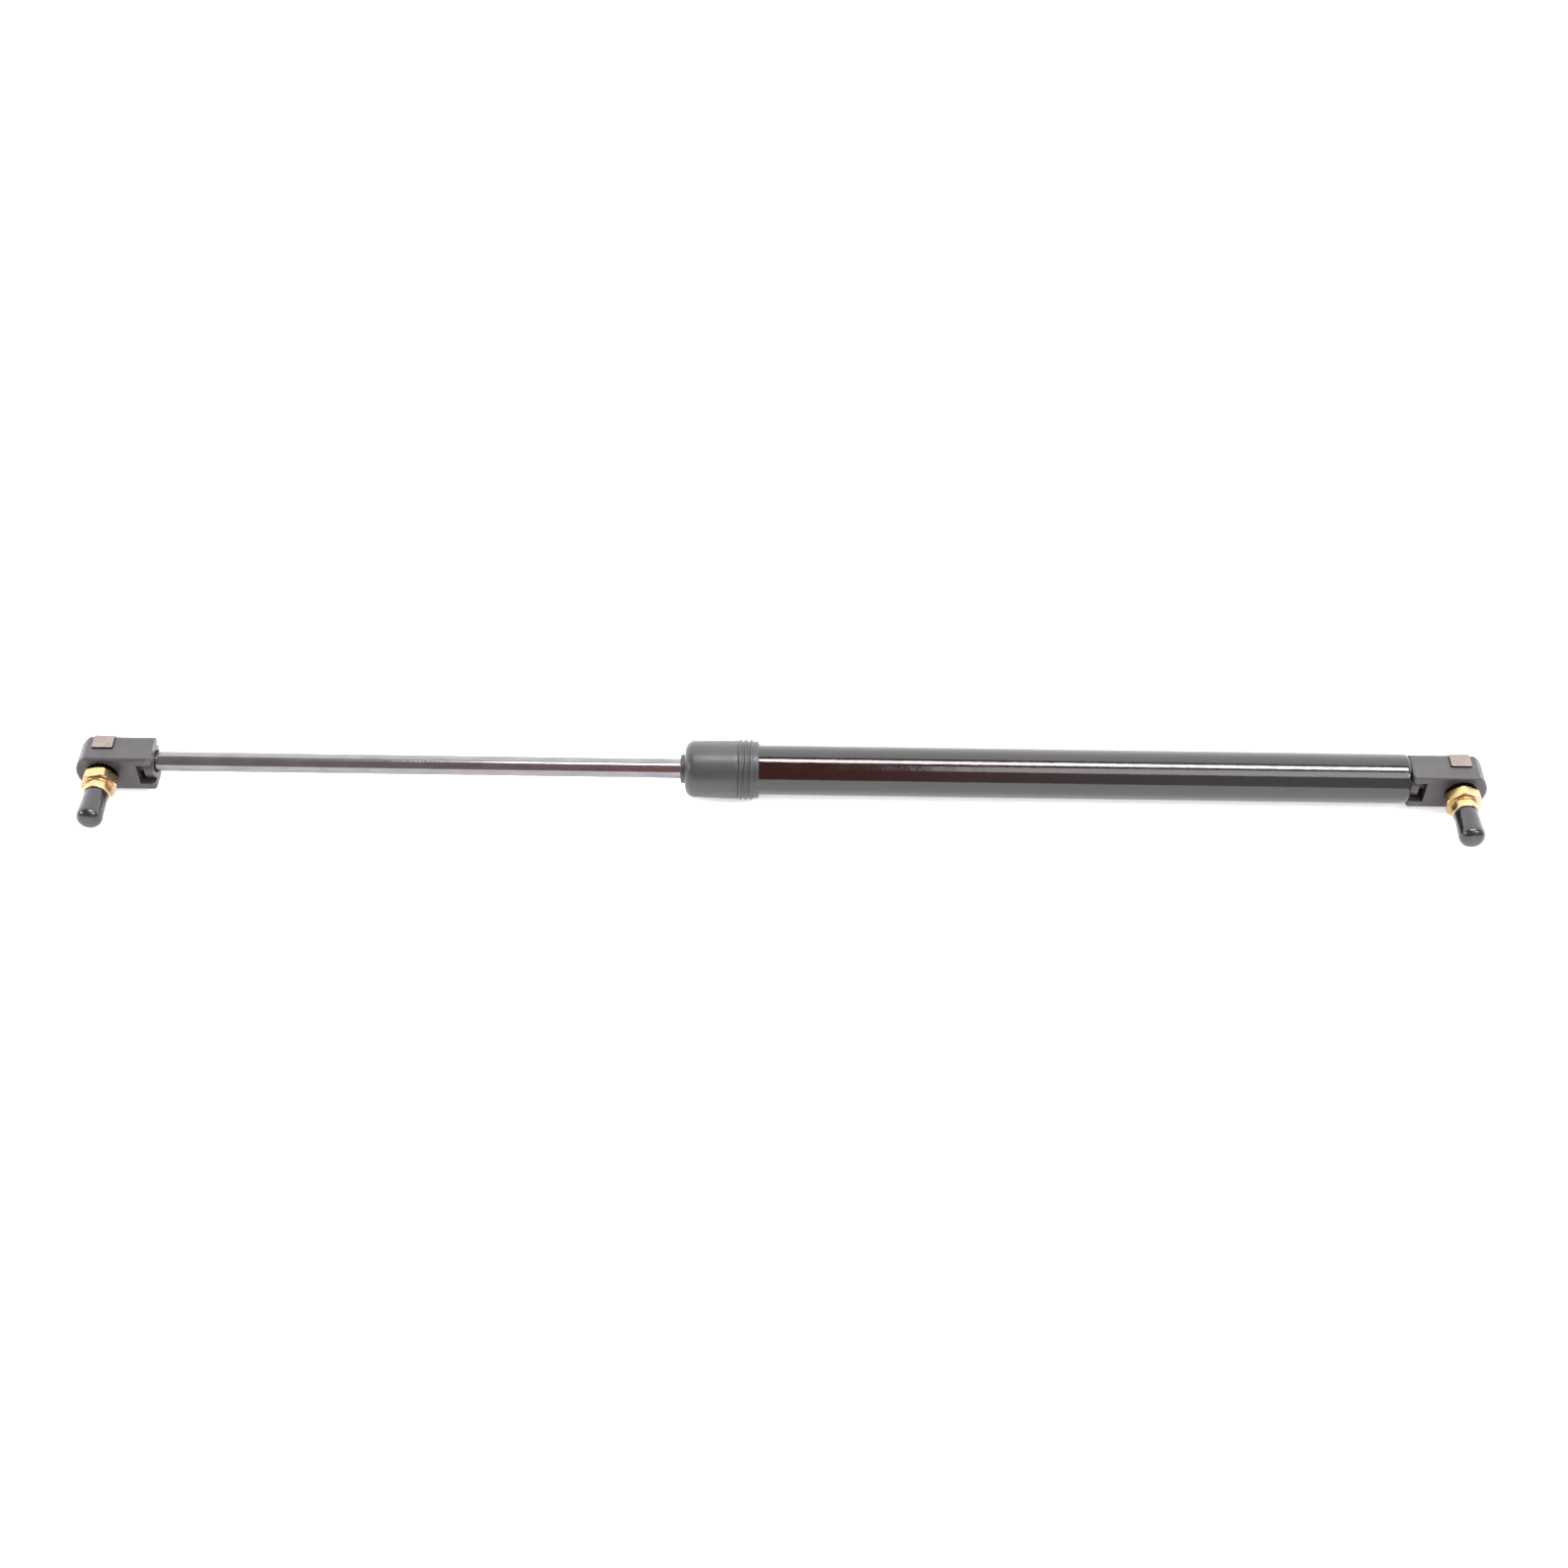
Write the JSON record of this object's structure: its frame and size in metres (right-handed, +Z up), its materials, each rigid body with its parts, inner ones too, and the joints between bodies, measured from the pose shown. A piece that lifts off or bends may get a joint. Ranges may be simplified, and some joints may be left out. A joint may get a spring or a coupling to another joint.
{
  "type": "gas strut stay",
  "caption": "Gas-sprung telescopic stay: a dark steel rod slides in a sealed tube, with a capped ball stud in a clipped socket at each end.",
  "frame": {"origin": "centre of the ball of the tube-end ball stud", "axes": "+X runs from the rod end to the tube end, the ball studs point along -Y, +Z is up; the rod is fully out at rest"},
  "size_m": [0.5558, 0.0455, 0.0239],
  "materials": {
    "tube_paint": "gloss black paint",
    "rod_steel": "polished dark nitrided steel",
    "plain_steel": "bright steel",
    "clip_steel": "tempered spring steel",
    "stud_zinc": "yellow zinc plating",
    "socket_plastic": "moulded satin",
    "boot_rubber": "satin",
    "cap_vinyl": "gloss soft vinyl",
    "guide_bronze": "sintered bronze",
    "seal_rubber": "smooth",
    "piston_plastic": "natural acetal"
  },
  "bodies": {
    "cylinder": {"cylinder_tube": "tube_paint", "tube_end_stud": "plain_steel", "front_washer": "plain_steel", "rod_guide": "guide_bronze", "rod_seal": "seal_rubber", "seal_washer": "plain_steel", "seal_spacer": "piston_plastic", "rod_boot": "boot_rubber", "tube_socket": "socket_plastic"},
    "piston_ring": {"piston_ring": "seal_rubber"},
    "rod": {"piston_rod": "rod_steel", "support_washer": "plain_steel", "piston": "piston_plastic", "valve_disc": "plain_steel", "rivet_washer": "plain_steel", "rod_socket": "socket_plastic"},
    "tube_clip": {"tube_socket_clip": "clip_steel"},
    "rod_clip": {"rod_socket_clip": "clip_steel"},
    "tube_stud": {"tube_ball_stud": "stud_zinc"},
    "rod_stud": {"rod_ball_stud": "stud_zinc"},
    "tube_cap": {"tube_stud_cap": "cap_vinyl"},
    "rod_cap": {"rod_stud_cap": "cap_vinyl"}
  },
  "joints": [
    {"name": "rod_slide", "type": "slide", "parent": "cylinder", "child": "piston_ring", "axis": [1, 0, 0], "range_m": [0, 0.2], "stiffness_N_per_m": 600},
    {"name": "rod_turn", "type": "hinge", "parent": "piston_ring", "child": "rod", "pos_m": [-0.273, 0, 0], "axis": [1, 0, 0], "continuous": true},
    {"name": "tube_stud_turn", "type": "hinge", "parent": "cylinder", "child": "tube_stud", "pos_m": [0, 0, 0], "axis": [0, 1, 0], "continuous": true},
    {"name": "rod_stud_turn", "type": "hinge", "parent": "rod", "child": "rod_stud", "pos_m": [-0.535, 0, 0], "axis": [0, 1, 0], "continuous": true},
    {"name": "tube_cap_pull", "type": "slide", "parent": "tube_stud", "child": "tube_cap", "axis": [0, -1, 0], "range_m": [0, 0.02]},
    {"name": "rod_cap_pull", "type": "slide", "parent": "rod_stud", "child": "rod_cap", "axis": [0, -1, 0], "range_m": [0, 0.02]},
    {"name": "tube_clip_release", "type": "slide", "parent": "cylinder", "child": "tube_clip", "axis": [0, 1, 0], "range_m": [0, 0.004]},
    {"name": "rod_clip_release", "type": "slide", "parent": "rod", "child": "rod_clip", "axis": [0, 1, 0], "range_m": [0, 0.004]}
  ]
}
